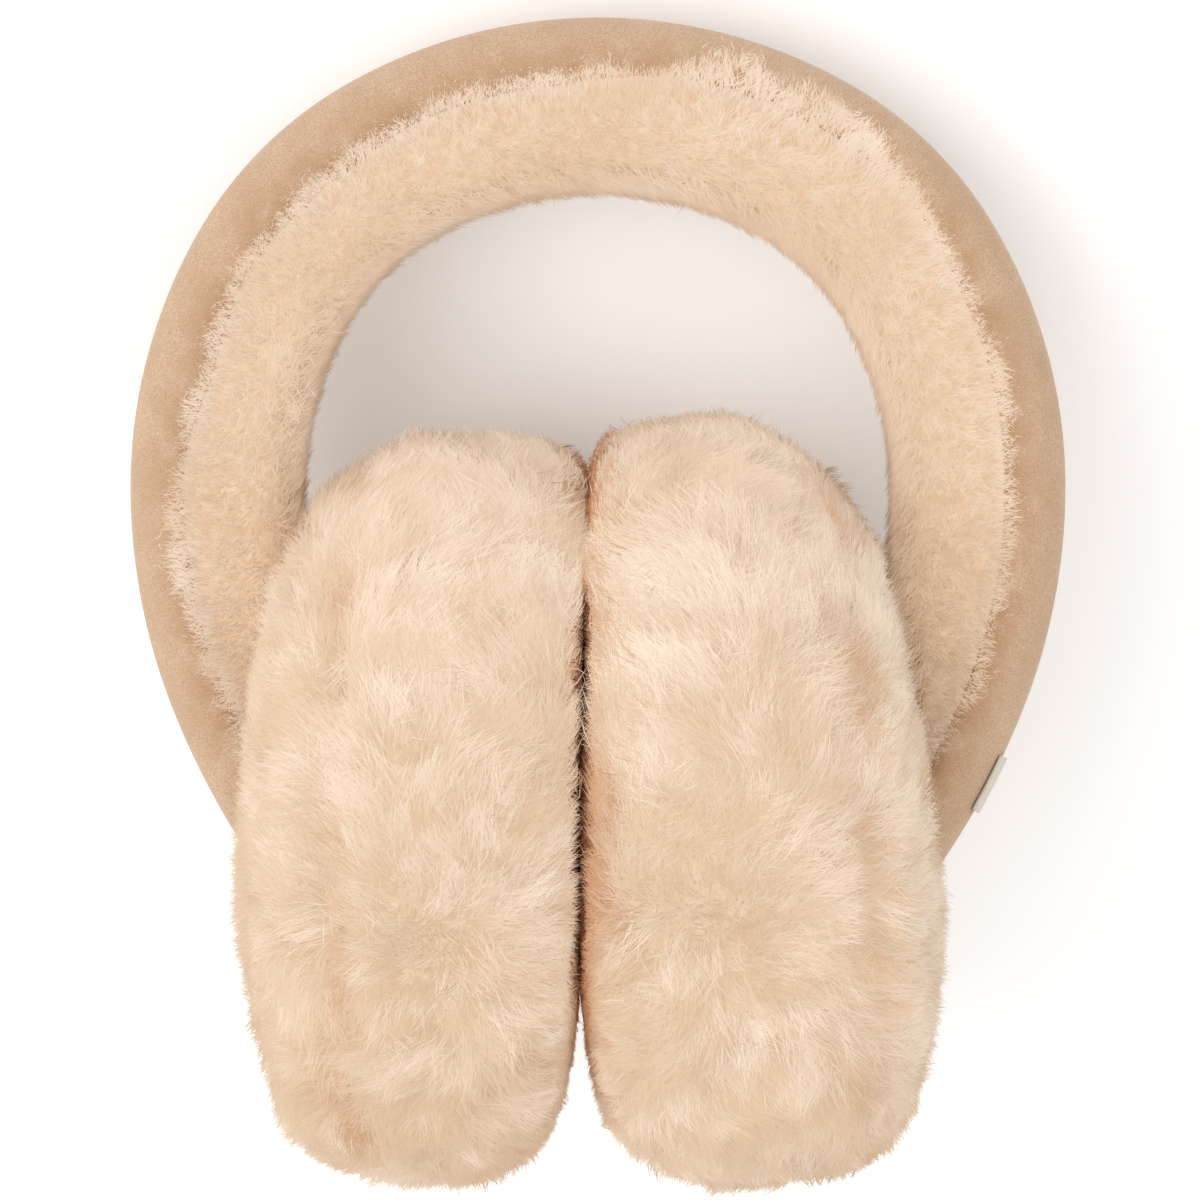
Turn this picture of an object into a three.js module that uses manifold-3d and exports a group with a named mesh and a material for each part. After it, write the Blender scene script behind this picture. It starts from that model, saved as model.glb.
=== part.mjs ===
// Fur earmuffs lying on a table: a padded suede headband lined with sheepskin,
// and a thick sheepskin pad round each of its ends, made of an ear cushion and
// a back. Millimetres, +Z up, origin under the middle of the whole thing.
//
// Every piece is shaped in the frame of the arch: x to the right, y towards the
// crown, z towards whoever looks at the arch from the front. The arch is then
// tipped back until the crown and both pads rest on the table together.

import * as THREE from 'three';
import { mergeVertices } from 'three/addons/utils/BufferGeometryUtils.js';
import Module from 'manifold-3d';

const wasm = await Module();
wasm.setup();

// Headband
const BAND_RADIUS = 79.7;
const BAND_WIDTH = 36;
const BAND_DEPTH = 28.8;
const RIM_DEPTH = 9.5;
const SUEDE_WALL = 2;
const EDGE_ROUND = 7.5;
const PILE_SWELL = 0.3;
const PILE_ROUND = 10;
const BAND_LOCK = 2.6;

// Ear pads, which follow the ends of the band: cover is how far a pad reaches
// outside the end, and back is how thick the part of it outside the seam is
const PAD_BELOW_END = 52.5;
const CONTACT_OFFSET = -3.1;
const CREASE_LEAN = 2;
const OUTER_LEAN = 2.6;
const SEAM_GROOVE = 2.5;
const PAD_LOCK = 3.6;
const LOCK_SINK = 0.7;
const LEAST_LOCK = 0.8;
const CONTACT_SHARE = 0.6;
const PAD_PRESS = 2.8;
const LEFT_PAD_RADIUS = 65.2;
const LEFT_COVER = 6.7;
const LEFT_BACK = 19.6;
const RIGHT_PAD_RADIUS = 66.5;
const RIGHT_COVER = 2.4;
const RIGHT_BACK = 15.5;
const PADS = [
  { name: 'left', side: -1, radius: LEFT_PAD_RADIUS, cover: LEFT_COVER, back: LEFT_BACK },
  { name: 'right', side: 1, radius: RIGHT_PAD_RADIUS, cover: RIGHT_COVER, back: RIGHT_BACK },
];

// Woven label on the outside of one end of the band
const LABEL_LENGTH = 10.5;
const LABEL_THICKNESS = 0.6;
const LABEL_FROM_END = 15;
const LABEL_WRAP = THREE.MathUtils.degToRad(30);

// Clearances
const GAP = 0.3;
const POCKET_GAP = 0.4;

// Mesh fineness
const BAND_STEPS = 40;
const CORNER_STEPS = 3;
const PAD_RINGS = 6;
const AROUND_PAD = 8 * PAD_RINGS;
const PRESSED_RINGS = 3;
const CUSHION_ROWS = 6;
const BACK_ROWS = 2;
const LABEL_STEPS = 3;

// Seeds of the repeatable random numbers for the locks
const BAND_SEED = 7;
const CUSHION_SEED = 11;
const BACK_SEED = 21;

// Half of the arch as tangent arcs, from the crown down to the end. The turn is
// in degrees and the radius is a share of BAND_RADIUS.
const BAND_ARCS = [
  { turn: 30, radius: 1.087 },
  { turn: 30, radius: 0.851 },
  { turn: 30, radius: 1.097 },
  { turn: 22, radius: 1.298 },
  { turn: 14, radius: 1.718 },
];

// How far the pile stands inside the rim: depth is a share of its full depth,
// at a share of the way from the crown to the end.
const PILE_TAPER = [
  { along: 0, depth: 1 },
  { along: 0.7, depth: 1 },
  { along: 0.79, depth: 0.92 },
  { along: 0.85, depth: 0.68 },
  { along: 0.905, depth: 0.36 },
  { along: 1, depth: 0.08 },
];

// Outline of a pad through its top and its bottom, from the middle of the face
// that meets the other pad, round the rim, to the middle of the outer face.
// reach is a share of the radius, top and bottom are shares of the thickness.
const PAD_OUTLINE = [
  { reach: 0.0, top: 0.0, bottom: 0.0 },
  { reach: 0.5, top: 0.0, bottom: 0.0 },
  { reach: 0.7, top: 0.0, bottom: 0.035 },
  { reach: 0.85, top: 0.0, bottom: 0.085 },
  { reach: 0.94, top: 0.02, bottom: 0.17 },
  { reach: 1.0, top: 0.31, bottom: 0.37 },
  { reach: 0.94, top: 0.58, bottom: 0.76 },
  { reach: 0.85, top: 0.71, bottom: 0.87 },
  { reach: 0.7, top: 0.83, bottom: 0.93 },
  { reach: 0.5, top: 0.9, bottom: 0.98 },
  { reach: 0.25, top: 0.95, bottom: 1.0 },
  { reach: 0.0, top: 0.985, bottom: 0.985 },
];

// Share of the way from the crown to the end at which a pad's pocket begins
const POCKET_START = 0.55;

// Share of a pad's inner half-outline that is pressed against the other pad
const PRESSED_SHARE = 0.53;

// Parting that the pile combs away from, as shares of the pad: along its
// thickness, up towards the crown, and towards the viewer
const PARTING = { out: 0.38, up: -0.35, front: 1 };

// Least height and lean of a lock as shares of its full height, and how much
// more of each may be added at random
const LOCK_TALL = { least: 0.5, more: 0.5 };
const LOCK_LEAN = { least: 0.3, more: 0.5 };

// How far the corners of the locks are moved about, as a share of their spacing
const LOCK_ROUGH = 0.4;

// Repeatable random numbers between 0 and 1
function makeRandom(seed) {
  let state = seed;
  return () => {
    state = (Math.imul(state, 1664525) + 1013904223) >>> 0;
    return state / 4294967296;
  };
}

// A closed skin that grows point by point, with pile locks where asked. Where
// it is mirrored, its faces are listed the other way round and turned at the end.
class Skin {
  constructor(seed, mirrored) {
    this.points = [];
    this.faces = [];
    this.random = makeRandom(seed);
    this.mirrored = mirrored;
  }

  add(point) {
    this.points.push(point);
    return this.points.length - 1;
  }

  quad(a, b, c, d) {
    this.faces.push([a, b, c], [a, c, d]);
  }

  // Fills a flat loop from a point in its middle
  fan(loop, middle) {
    const hub = this.add(middle);
    loop.forEach((corner, i) => this.faces.push([hub, corner, loop[(i + 1) % loop.length]]));
  }

  // One lock of pile: a four-sided peak on the patch, combed along the lay
  lock(patch, height, parting) {
    const [a, b, c, d] = patch.map((index) => this.points[index]);
    const middle = a.clone().add(b).add(c).add(d).multiplyScalar(0.25);
    const out = c.clone().sub(a).cross(d.clone().sub(b)).normalize();
    if (this.mirrored) out.negate();
    const lay = middle.clone().sub(parting).projectOnPlane(out).normalize();
    const tall = height * (LOCK_TALL.least + LOCK_TALL.more * this.random());
    const lean = height * (LOCK_LEAN.least + LOCK_LEAN.more * this.random());
    const peak = this.add(middle.addScaledVector(out, tall).addScaledVector(lay, lean));
    patch.forEach((corner, i) => this.faces.push([peak, corner, patch[(i + 1) % 4]]));
  }

  geometry() {
    const geometry = new THREE.BufferGeometry().setFromPoints(this.points);
    geometry.setIndex(this.faces.flatMap(([a, b, c]) => (this.mirrored ? [a, c, b] : [a, b, c])));
    return geometry;
  }
}

// Solid and mesh forms of the same closed body
function toSolid(geometry) {
  const bare = geometry.clone();
  bare.deleteAttribute('normal');
  bare.deleteAttribute('uv');
  const merged = mergeVertices(bare, 1e-5);
  return new wasm.Manifold(new wasm.Mesh({
    numProp: 3,
    vertProperties: new Float32Array(merged.attributes.position.array),
    triVerts: new Uint32Array(merged.index.array),
  }));
}

function toGeometry(solid) {
  const mesh = solid.getMesh();
  const geometry = new THREE.BufferGeometry();
  geometry.setAttribute('position', new THREE.BufferAttribute(mesh.vertProperties, 3));
  geometry.setIndex(new THREE.BufferAttribute(mesh.triVerts, 1));
  return geometry;
}

// The arch

const END_TURN = BAND_ARCS.reduce((sum, arc) => sum + arc.turn, 0);
const PILE_DEPTH = BAND_DEPTH - RIM_DEPTH;

// Place on the outer edge of the arch, and the way inwards, at a turn in
// degrees from the crown, negative on the left
function archAt(turn) {
  const side = turn < 0 ? -1 : 1;
  const place = new THREE.Vector3(0, BAND_RADIUS, 0);
  let left = Math.abs(turn);
  let heading = 0;
  BAND_ARCS.forEach((arc, i) => {
    const last = i === BAND_ARCS.length - 1;
    const step = THREE.MathUtils.degToRad(last ? left : Math.min(left, arc.turn));
    const radius = arc.radius * BAND_RADIUS;
    place.x += radius * (Math.sin(heading + step) - Math.sin(heading));
    place.y -= radius * (Math.cos(heading) - Math.cos(heading + step));
    heading += step;
    left -= THREE.MathUtils.radToDeg(step);
  });
  place.x *= side;
  return { place, inward: new THREE.Vector3(-side * Math.sin(heading), -Math.cos(heading), 0) };
}

// A section of the band is a loop of Vector2: x into the arch, y to the viewer
function ringAt(turn, section) {
  const { place, inward } = archAt(turn);
  return section.map((p) => place.clone().addScaledVector(inward, p.x).setZ(p.y));
}

function pileShare(turn) {
  const along = Math.abs(turn) / END_TURN;
  const next = Math.max(1, PILE_TAPER.findIndex((row) => row.along >= along));
  const [from, to] = [PILE_TAPER[next - 1], PILE_TAPER[next]];
  const share = (along - from.along) / (to.along - from.along);
  return THREE.MathUtils.lerp(from.depth, to.depth, share);
}

// Outer face of the band and its two rounded edges, set in by inset. wrap is
// how far round each edge it goes.
function outerFace(inset, wrap) {
  const round = EDGE_ROUND - inset;
  const middle = BAND_WIDTH / 2 - EDGE_ROUND;
  const points = [];
  for (const side of [-1, 1]) {
    for (let i = 0; i <= CORNER_STEPS; i++) {
      const angle = (wrap * (side < 0 ? CORNER_STEPS - i : i)) / CORNER_STEPS;
      const depth = EDGE_ROUND - round * Math.cos(angle);
      points.push(new THREE.Vector2(depth, side * (middle + round * Math.sin(angle))));
    }
  }
  return points;
}

// Suede cover: a channel open to the inside of the arch
function suedeSection() {
  const outside = outerFace(0, Math.PI / 2);
  const inside = outerFace(SUEDE_WALL, Math.PI / 2).reverse();
  const lip = (p) => new THREE.Vector2(RIM_DEPTH, p.y);
  const ends = (line) => [lip(line[0]), ...line, lip(line[line.length - 1])];
  return [...ends(outside), ...ends(inside)];
}

// Sheepskin lining: it fills the channel and stands out of it towards the head.
// The first points are hidden in the channel and the rest carry the locks.
function liningSection(turn) {
  const share = pileShare(turn);
  const sink = LOCK_SINK * BAND_LOCK * share;
  const hidden = outerFace(SUEDE_WALL + GAP, Math.PI / 2);
  const mouth = RIM_DEPTH + GAP;
  const skinSide = hidden.at(-1).y;
  const side = THREE.MathUtils.lerp(skinSide, BAND_WIDTH / 2 + PILE_SWELL, share) - sink;
  const inner = mouth + share * (BAND_DEPTH - mouth) - sink;
  const round = PILE_ROUND * share;
  const cut = round * (1 - Math.SQRT1_2);
  const half = (way) => [
    new THREE.Vector2(mouth, way * skinSide),
    new THREE.Vector2(mouth + share, way * side),
    new THREE.Vector2(inner - round, way * side),
    new THREE.Vector2(inner - cut, way * (side - cut)),
    new THREE.Vector2(inner, way * (side - round)),
  ];
  return {
    section: [...hidden, ...half(1), new THREE.Vector2(inner, 0), ...half(-1).reverse()],
    hidden: hidden.length,
  };
}

// Carries a section along the arch through a list of turns, and closes its ends
function sweep(turns, sectionAt, cover) {
  const skin = new Skin(BAND_SEED, false);
  const rings = turns.map((turn) => ringAt(turn, sectionAt(turn)).map((p) => skin.add(p)));
  for (let i = 1; i < turns.length; i++) {
    const [from, to] = [rings[i - 1], rings[i]];
    from.forEach((corner, j) => {
      const next = (j + 1) % from.length;
      cover(skin, [corner, from[next], to[next], to[j]], j, (turns[i - 1] + turns[i]) / 2);
    });
  }
  const [first, last] = [rings[0], rings.at(-1)];
  for (const [a, b, c] of THREE.ShapeUtils.triangulateShape(sectionAt(turns[0]), [])) {
    skin.faces.push([first[a], first[b], first[c]]);
  }
  for (const [a, b, c] of THREE.ShapeUtils.triangulateShape(sectionAt(turns.at(-1)), [])) {
    skin.faces.push([last[c], last[b], last[a]]);
  }
  return skin.geometry();
}

// Evenly spaced turns, both ends included
function turnsBetween(from, to, steps) {
  return Array.from({ length: steps + 1 }, (_, i) => THREE.MathUtils.lerp(from, to, i / steps));
}

const BAND_TURNS = turnsBetween(-END_TURN, END_TURN, BAND_STEPS);

const plain = (skin, patch) => skin.quad(...patch);

function suedeGeometry() {
  return sweep(BAND_TURNS, suedeSection, plain);
}

function liningGeometry() {
  const { hidden, section } = liningSection(0);
  const crown = new THREE.Vector3(0, BAND_RADIUS, BAND_WIDTH);
  const cover = (skin, patch, j, turn) => {
    const piled = j > hidden && j < section.length - 2;
    if (piled) skin.lock(patch, BAND_LOCK * pileShare(turn), crown);
    else skin.quad(...patch);
  };
  return sweep(BAND_TURNS, (turn) => liningSection(turn).section, cover);
}

// Room for the end of the band in a pad: the suede and the pile, locks included
function pocketGeometry(side) {
  const section = (turn) => {
    const share = pileShare(Math.min(Math.abs(turn), END_TURN));
    const lock = BAND_LOCK * share;
    const depth = RIM_DEPTH + share * PILE_DEPTH + (1 - LOCK_SINK) * lock + POCKET_GAP;
    const outside = outerFace(-POCKET_GAP, Math.PI / 2);
    const half = BAND_WIDTH / 2 + PILE_SWELL + (1 - LOCK_SINK) * lock + POCKET_GAP;
    const bag = [[RIM_DEPTH, half], [depth, half], [depth, -half], [RIM_DEPTH, -half]];
    return [...outside, ...bag.map(([x, y]) => new THREE.Vector2(x, y))];
  };
  const past = THREE.MathUtils.radToDeg(POCKET_GAP / BAND_RADIUS);
  const turns = BAND_TURNS.filter((turn) => turn > POCKET_START * END_TURN);
  turns.push(END_TURN + past);
  return sweep(side > 0 ? turns : turns.map((turn) => -turn).reverse(), section, plain);
}

function labelGeometry() {
  const outside = outerFace(-GAP - LABEL_THICKNESS, LABEL_WRAP);
  const inside = outerFace(-GAP, LABEL_WRAP).reverse();
  const degrees = (length) => THREE.MathUtils.radToDeg(length / (BAND_ARCS.at(-1).radius * BAND_RADIUS));
  const low = END_TURN - degrees(LABEL_FROM_END);
  const turns = turnsBetween(low - degrees(LABEL_LENGTH), low, LABEL_STEPS);
  return sweep(turns, () => [...outside, ...inside], plain);
}

// The pads: each is as thick as it must be to reach from the other pad to its
// cover outside the end of the band

const BAND_END = archAt(END_TURN).place;

const thicknessOf = (pad) => BAND_END.x - pad.side * CONTACT_OFFSET - GAP / 2 + pad.cover;

const seamOf = (pad) => thicknessOf(pad) - pad.back;

const heightOf = (pad) => BAND_END.y - PAD_BELOW_END + pad.radius;

function padCentre(pad) {
  return new THREE.Vector3(CONTACT_OFFSET, heightOf(pad), padRise(pad));
}

// Curve of a pad's half-outline at an angle round the pad, 0 towards the crown
// and a quarter turn towards the viewer: x is reach and y is offset, as shares
function outlineAt(angle) {
  const low = (1 - Math.cos(angle)) / 2;
  return new THREE.CatmullRomCurve3(PAD_OUTLINE.map((row) => (
    new THREE.Vector3(row.reach, THREE.MathUtils.lerp(row.top, row.bottom, low), 0)
  )), false, 'centripetal');
}

// Share of the way along the outline at which it crosses the pad's seam
function seamAt(pad, curve) {
  let [before, after] = [0.5, 1];
  for (let i = 0; i < 24; i++) {
    const middle = (before + after) / 2;
    if (curve.getPointAt(middle).y < seamOf(pad) / thicknessOf(pad)) before = middle;
    else after = middle;
  }
  return before;
}

// Point of a pad, from its shares: reach across it and offset through it
function padPoint(pad, angle, reach, offset) {
  const radius = reach * (pad.radius - LOCK_SINK * PAD_LOCK);
  const up = reach * Math.cos(angle);
  const point = padCentre(pad);
  point.y += radius * Math.cos(angle);
  point.z += radius * Math.sin(angle);
  point.x += pad.side * (GAP / 2 + offset * (thicknessOf(pad) - LOCK_SINK * PAD_LOCK));
  point.x += CREASE_LEAN * (1 - offset) * Math.max(0, up) - OUTER_LEAN * offset * up;
  return point;
}

// Ring of points round a pad at a share of the way along its outlines between
// two ends, moved about a little by rough so that the locks don't line up
function padRing(skin, pad, count, placeAt, rough) {
  const ring = [];
  for (let i = 0; i < count; i++) {
    const shift = rough * (skin.random() - 0.5);
    const angle = (2 * Math.PI * (i + shift)) / count;
    const { reach, offset } = placeAt(outlineAt(angle), rough * (skin.random() - 0.5));
    ring.push(skin.add(padPoint(pad, angle, reach, offset)));
  }
  return ring;
}

function partingOf(pad) {
  const point = padCentre(pad);
  point.x += pad.side * PARTING.out * thicknessOf(pad);
  point.y += PARTING.up * pad.radius;
  point.z += PARTING.front * pad.radius;
  return point;
}

// Edge of a piece at the seam: level with the seam, and drawn in by its groove
function seamEdge(pad, inFront) {
  const offset = (seamOf(pad) + (inFront * GAP) / 2) / thicknessOf(pad);
  return (curve) => {
    const reach = curve.getPointAt(seamAt(pad, curve)).x - SEAM_GROOVE / pad.radius;
    return { reach, offset };
  };
}

const between = (curve, share) => {
  const point = curve.getPointAt(THREE.MathUtils.clamp(share, 0, 1));
  return { reach: point.x, offset: Math.max(0, point.y) };
};

// Height of the locks at a point of a pad: they stay clear of the other pad
function lockHeight(pad, point) {
  const centre = padCentre(pad);
  const contact = centre.x + (CREASE_LEAN * Math.max(0, point.y - centre.y)) / pad.radius;
  return Math.min(PAD_LOCK, CONTACT_SHARE * pad.side * (point.x - contact));
}

// Band of patches between two rings, each with a lock where there is room
function strip(skin, pad, from, to) {
  const parting = partingOf(pad);
  from.forEach((corner, i) => {
    const next = (i + 1) % from.length;
    const patch = [corner, from[next], to[next], to[i]];
    const height = Math.min(...patch.map((index) => lockHeight(pad, skin.points[index])));
    if (height > LEAST_LOCK) skin.lock(patch, height, parting);
    else skin.quad(...patch);
  });
}

// Ear cushion: the part of the pad between the other pad and the seam
function cushionGeometry(pad) {
  const skin = new Skin(CUSHION_SEED, pad.side > 0);
  const rings = [];
  for (let i = 1; i <= PRESSED_RINGS; i++) {
    const share = (PRESSED_SHARE * i) / PRESSED_RINGS;
    rings.push(padRing(skin, pad, AROUND_PAD, (curve) => between(curve, seamAt(pad, curve) * share), 0));
  }
  for (let i = 1; i < CUSHION_ROWS; i++) {
    const step = (1 - PRESSED_SHARE) / CUSHION_ROWS;
    const place = (curve, rough) => (
      between(curve, seamAt(pad, curve) * (PRESSED_SHARE + step * (i + rough)))
    );
    rings.push(padRing(skin, pad, AROUND_PAD, place, LOCK_ROUGH));
  }
  rings.push(padRing(skin, pad, AROUND_PAD, seamEdge(pad, -1), 0));
  rings.slice(1).forEach((ring, i) => strip(skin, pad, ring, rings[i]));
  skin.fan(rings[0], padPoint(pad, 0, 0, 0));
  const { offset } = seamEdge(pad, -1)(outlineAt(0));
  skin.fan([...rings.at(-1)].reverse(), padPoint(pad, 0, 0, offset));
  return skin.geometry();
}

// Place in a square patch of a disc, as a ring and a number round that ring
function discPlace(i, j) {
  const ring = Math.max(Math.abs(i), Math.abs(j));
  if (ring === 0) return { ring, number: 0 };
  const flat = Math.abs(i) >= Math.abs(j);
  const eighths = flat ? j / i + (i < 0 ? 4 : 0) : 2 - i / j + (j < 0 ? 4 : 0);
  return { ring, number: (Math.round(eighths * ring) + 8 * ring) % (8 * ring) };
}

// Back: the outer part of the pad, closed over the end of the band
function backGeometry(pad) {
  const skin = new Skin(BACK_SEED, pad.side > 0);
  const parting = partingOf(pad);
  const rows = PAD_RINGS + BACK_ROWS;
  const shareOf = (curve, row) => THREE.MathUtils.lerp(1, seamAt(pad, curve), row / rows);
  const rings = [[skin.add(padPoint(pad, 0, 0, outlineAt(0).getPointAt(1).y))]];
  for (let row = 1; row < rows; row++) {
    const place = (curve, rough) => between(curve, shareOf(curve, row + rough));
    rings.push(padRing(skin, pad, 8 * Math.min(row, PAD_RINGS), place, LOCK_ROUGH));
  }
  rings.push(padRing(skin, pad, AROUND_PAD, seamEdge(pad, 1), 0));
  const corner = (i, j) => {
    const { ring, number } = discPlace(i, j);
    return rings[ring][number];
  };
  for (let i = -PAD_RINGS; i < PAD_RINGS; i++) {
    for (let j = -PAD_RINGS; j < PAD_RINGS; j++) {
      skin.lock([corner(i, j), corner(i, j + 1), corner(i + 1, j + 1), corner(i + 1, j)], PAD_LOCK, parting);
    }
  }
  for (let row = PAD_RINGS; row < rows; row++) {
    strip(skin, pad, rings[row], rings[row + 1]);
  }
  const edge = rings[rows];
  skin.fan(edge, padPoint(pad, 0, 0, seamEdge(pad, 1)(outlineAt(0)).offset));
  return skin.geometry();
}

// Resting on the table

// Lowest height of the crown's edge over the arch's own centre, at a tilt
function crownDrop(tilt) {
  const heights = outerFace(0, Math.PI / 2).map((p) => (
    p.y * Math.cos(tilt) - (BAND_RADIUS - p.x) * Math.sin(tilt)
  ));
  return Math.min(...heights);
}

// Lowest height of a pad's pressed rim over the arch's centre, at a tilt
const padDrop = (pad, tilt) => PAD_PRESS - pad.radius - heightOf(pad) * Math.sin(tilt);

// Tilt at which the crown and the first pad touch the table together
function restTilt() {
  let [flat, steep] = [0, Math.PI / 3];
  for (let i = 0; i < 40; i++) {
    const middle = (flat + steep) / 2;
    if (padDrop(PADS[0], middle) < crownDrop(middle)) flat = middle;
    else steep = middle;
  }
  return flat;
}

const TILT = restTilt();
const TABLE_DROP = crownDrop(TILT);

// How far towards the viewer a pad sits, so that it reaches the table as well
function padRise(pad) {
  return (TABLE_DROP - padDrop(pad, TILT)) / Math.cos(TILT);
}

// Everything below the table, in the frame of the arch
function underTable() {
  const size = 4 * BAND_RADIUS;
  const block = new THREE.BoxGeometry(size, size, size);
  block.translate(0, 0, TABLE_DROP - size / 2);
  return toSolid(block.rotateX(TILT));
}

const suede = new THREE.MeshStandardMaterial({ color: '#cdac8d', roughness: 0.95, metalness: 0 });
const bandPile = new THREE.MeshStandardMaterial({ color: '#ead0b5', roughness: 1, metalness: 0 });
const padPile = new THREE.MeshStandardMaterial({ color: '#efd6ba', roughness: 1, metalness: 0 });
const woven = new THREE.MeshStandardMaterial({ color: '#e6e0d6', roughness: 0.8, metalness: 0 });

const arch = new THREE.Group();

function addPiece(name, geometry, material) {
  const mesh = new THREE.Mesh(geometry, material.clone());
  mesh.name = name;
  arch.add(mesh);
}

addPiece('band_suede', suedeGeometry(), suede);
addPiece('band_fur', liningGeometry(), bandPile);
addPiece('label', labelGeometry(), woven);

const table = underTable();
for (const pad of PADS) {
  const cushion = toSolid(cushionGeometry(pad)).subtract(table);
  const back = toSolid(backGeometry(pad)).subtract(table).subtract(toSolid(pocketGeometry(pad.side)));
  addPiece(`cushion_${pad.name}`, toGeometry(cushion), padPile);
  addPiece(`back_${pad.name}`, toGeometry(back), padPile);
}

arch.rotation.x = -TILT;
arch.updateMatrixWorld(true);
const middle = new THREE.Box3().setFromObject(arch, true).getCenter(new THREE.Vector3());
arch.position.set(-middle.x, -middle.y, -TABLE_DROP);

const earmuffs = new THREE.Group();
earmuffs.add(arch);

export default earmuffs;
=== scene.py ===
# Fur earmuffs lying on a table: a padded suede headband lined with sheepskin, and
# a thick sheepskin pad on each of its ends. Metres, +Z up, in the model's frame.
# Every shape is worked out on the upright arch, as it is seen from the front, with
# x to the right, y towards the crown and z to the viewer, and is then laid down.

from functools import partial

import bpy
import numpy as np
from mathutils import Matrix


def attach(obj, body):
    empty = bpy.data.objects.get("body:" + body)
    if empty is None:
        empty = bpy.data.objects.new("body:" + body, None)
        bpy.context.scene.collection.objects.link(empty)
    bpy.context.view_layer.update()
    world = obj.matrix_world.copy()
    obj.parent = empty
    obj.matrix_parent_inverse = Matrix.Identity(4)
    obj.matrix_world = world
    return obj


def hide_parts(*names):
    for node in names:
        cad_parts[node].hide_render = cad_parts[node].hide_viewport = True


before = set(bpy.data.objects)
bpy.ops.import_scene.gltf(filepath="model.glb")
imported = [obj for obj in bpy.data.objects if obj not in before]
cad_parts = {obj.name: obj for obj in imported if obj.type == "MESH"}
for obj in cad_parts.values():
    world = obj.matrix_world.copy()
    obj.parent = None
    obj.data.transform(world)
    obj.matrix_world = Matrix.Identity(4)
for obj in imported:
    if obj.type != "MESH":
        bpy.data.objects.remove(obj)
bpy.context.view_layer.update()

# How the pair lies: the arch is tipped back until the edge of its crown and both
# pads rest on the table, and is lifted to the height of the table.
TILT = np.radians(20.68)
LIFT = np.array([0.0, 0.019763, 0.042726])


def turn_down(ways):
    """A direction on the upright arch is turned back about x by TILT."""
    x, y, z = np.moveaxis(np.asarray(ways, float), -1, 0)
    cos, sin = np.cos(TILT), np.sin(TILT)
    return np.stack([x, y * cos + z * sin, z * cos - y * sin], -1)


def lay_down(points):
    """A point of the upright arch is turned back about x by TILT and lifted onto the table."""
    return turn_down(points) + LIFT


# The camera looks square at the arch from in front of it, far enough away for the
# pads to show hardly any perspective.
PHOTO_CENTRE = (0.00034, -0.0198, 0.0)
VIEW_DISTANCE = 1.3
PHOTO_WIDTH = 0.20664
SENSOR_WIDTH = 36

camera = bpy.data.objects.new("camera", bpy.data.cameras.new("camera"))
camera.data.sensor_width = SENSOR_WIDTH
camera.data.lens = SENSOR_WIDTH * VIEW_DISTANCE / PHOTO_WIDTH
camera.location = lay_down(PHOTO_CENTRE + np.array([0, 0, VIEW_DISTANCE]))
camera.rotation_euler = (-TILT, 0, 0)
bpy.context.scene.collection.objects.link(camera)
bpy.context.scene.camera = camera

# The table: a plain pale floor.
FLOOR_SIZE = 6.0


def paint(name, colour, roughness):
    """A new material with that colour and roughness, and its nodes, links and shader."""
    material = bpy.data.materials.new(name)
    material.use_nodes = True
    nodes, links = material.node_tree.nodes, material.node_tree.links
    shader = nodes["Principled BSDF"]
    shader.inputs["Base Color"].default_value = (*colour, 1)
    shader.inputs["Roughness"].default_value = roughness
    return material, nodes, links, shader


def shape(name, points, faces, material):
    """A mesh from its places, n by 3, and the corners of its faces, m by 3 or 4."""
    mesh = bpy.data.meshes.new(name)
    mesh.vertices.add(len(points))
    mesh.vertices.foreach_set("co", np.asarray(points, np.float32).ravel())
    mesh.loops.add(faces.size)
    mesh.loops.foreach_set("vertex_index", faces.astype(np.int32).ravel())
    mesh.polygons.add(len(faces))
    mesh.polygons.foreach_set("loop_start", np.arange(0, faces.size, faces.shape[1], dtype=np.int32))
    mesh.update(calc_edges=True)
    mesh.shade_smooth()
    mesh.materials.append(material)
    piece = bpy.data.objects.new(name, mesh)
    bpy.context.scene.collection.objects.link(piece)
    return piece


floor_paint = paint("floor", (0.98, 0.98, 0.98), 0.8)[0]
half = FLOOR_SIZE / 2
floor = shape(
    "floor",
    np.array([[-half, -half, 0], [half, -half, 0], [half, half, 0], [-half, half, 0]]),
    np.array([[0, 1, 2, 3]]),
    floor_paint,
)

# Soft studio light: a wide key from over the crown, a weaker fill from the other
# side, and a bright room.
SOFTBOXES = {
    "key": {"place": (-0.85, 0.4, 1.15), "size": 1.1, "power": 10.7},
    "fill": {"place": (0.4, 0.1, 1.3), "size": 1.4, "power": 5.4},
}
ROOM_BRIGHTNESS = 0.88

for name, box in SOFTBOXES.items():
    lamp = bpy.data.lights.new(name, "AREA")
    lamp.size = box["size"]
    lamp.energy = box["power"]
    softbox = bpy.data.objects.new(name, lamp)
    softbox.location = box["place"]
    aim = np.array(box["place"])
    tip, turn = np.arctan2(np.hypot(aim[0], aim[1]), aim[2]), np.arctan2(aim[0], -aim[1])
    softbox.rotation_euler = (tip, 0, turn)
    bpy.context.scene.collection.objects.link(softbox)

room = bpy.data.worlds.new("room")
room.use_nodes = True
room.node_tree.nodes["Background"].inputs["Color"].default_value = (1, 1, 1, 1)
room.node_tree.nodes["Background"].inputs["Strength"].default_value = ROOM_BRIGHTNESS
bpy.context.scene.world = room
bpy.context.scene.view_settings.view_transform = "Standard"

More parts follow.
